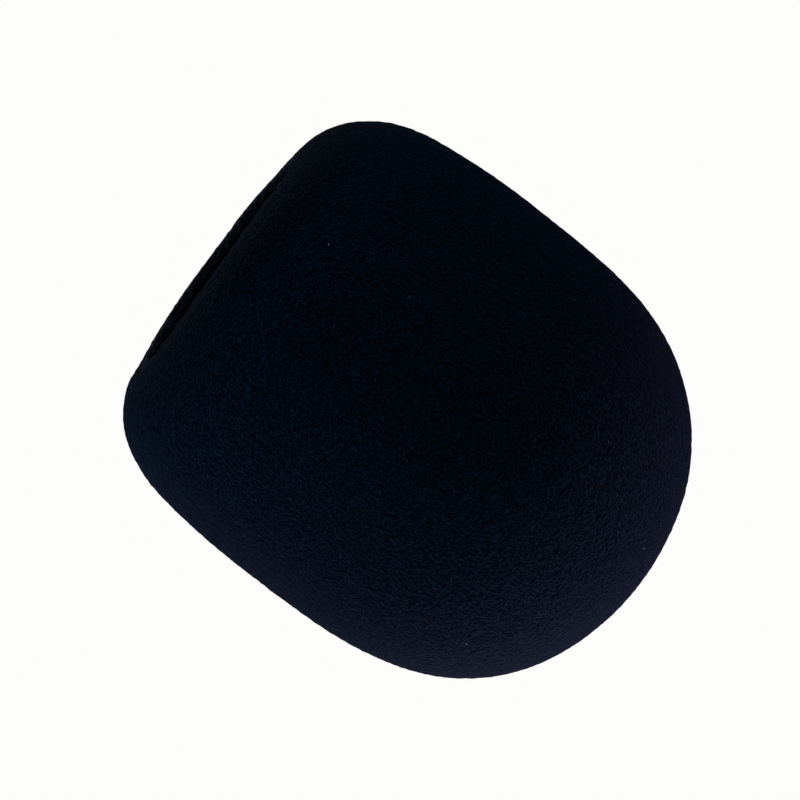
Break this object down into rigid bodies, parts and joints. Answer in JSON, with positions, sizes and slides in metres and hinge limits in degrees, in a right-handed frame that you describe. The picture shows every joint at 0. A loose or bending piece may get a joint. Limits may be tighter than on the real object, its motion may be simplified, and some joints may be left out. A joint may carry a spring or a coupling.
{
  "type": "foam microphone windscreen",
  "caption": "Slip-on black foam windscreen for a hand-held microphone: rounded dome, rounded shoulders, round mouth and a bulb-shaped cavity for the microphone's head.",
  "frame": {"origin": "centre of the mouth, on the flat rim that it stands on", "axes": "+Z along the axis of revolution, from the mouth to the top of the dome; X and Y are any two directions across it"},
  "size_m": [0.065, 0.065, 0.0748],
  "materials": {
    "black_foam": "fine open-cell polyurethane foam, matt bluish black, soft and porous"
  },
  "bodies": {
    "root": {"foam_windscreen": "black_foam"}
  },
  "joints": []
}
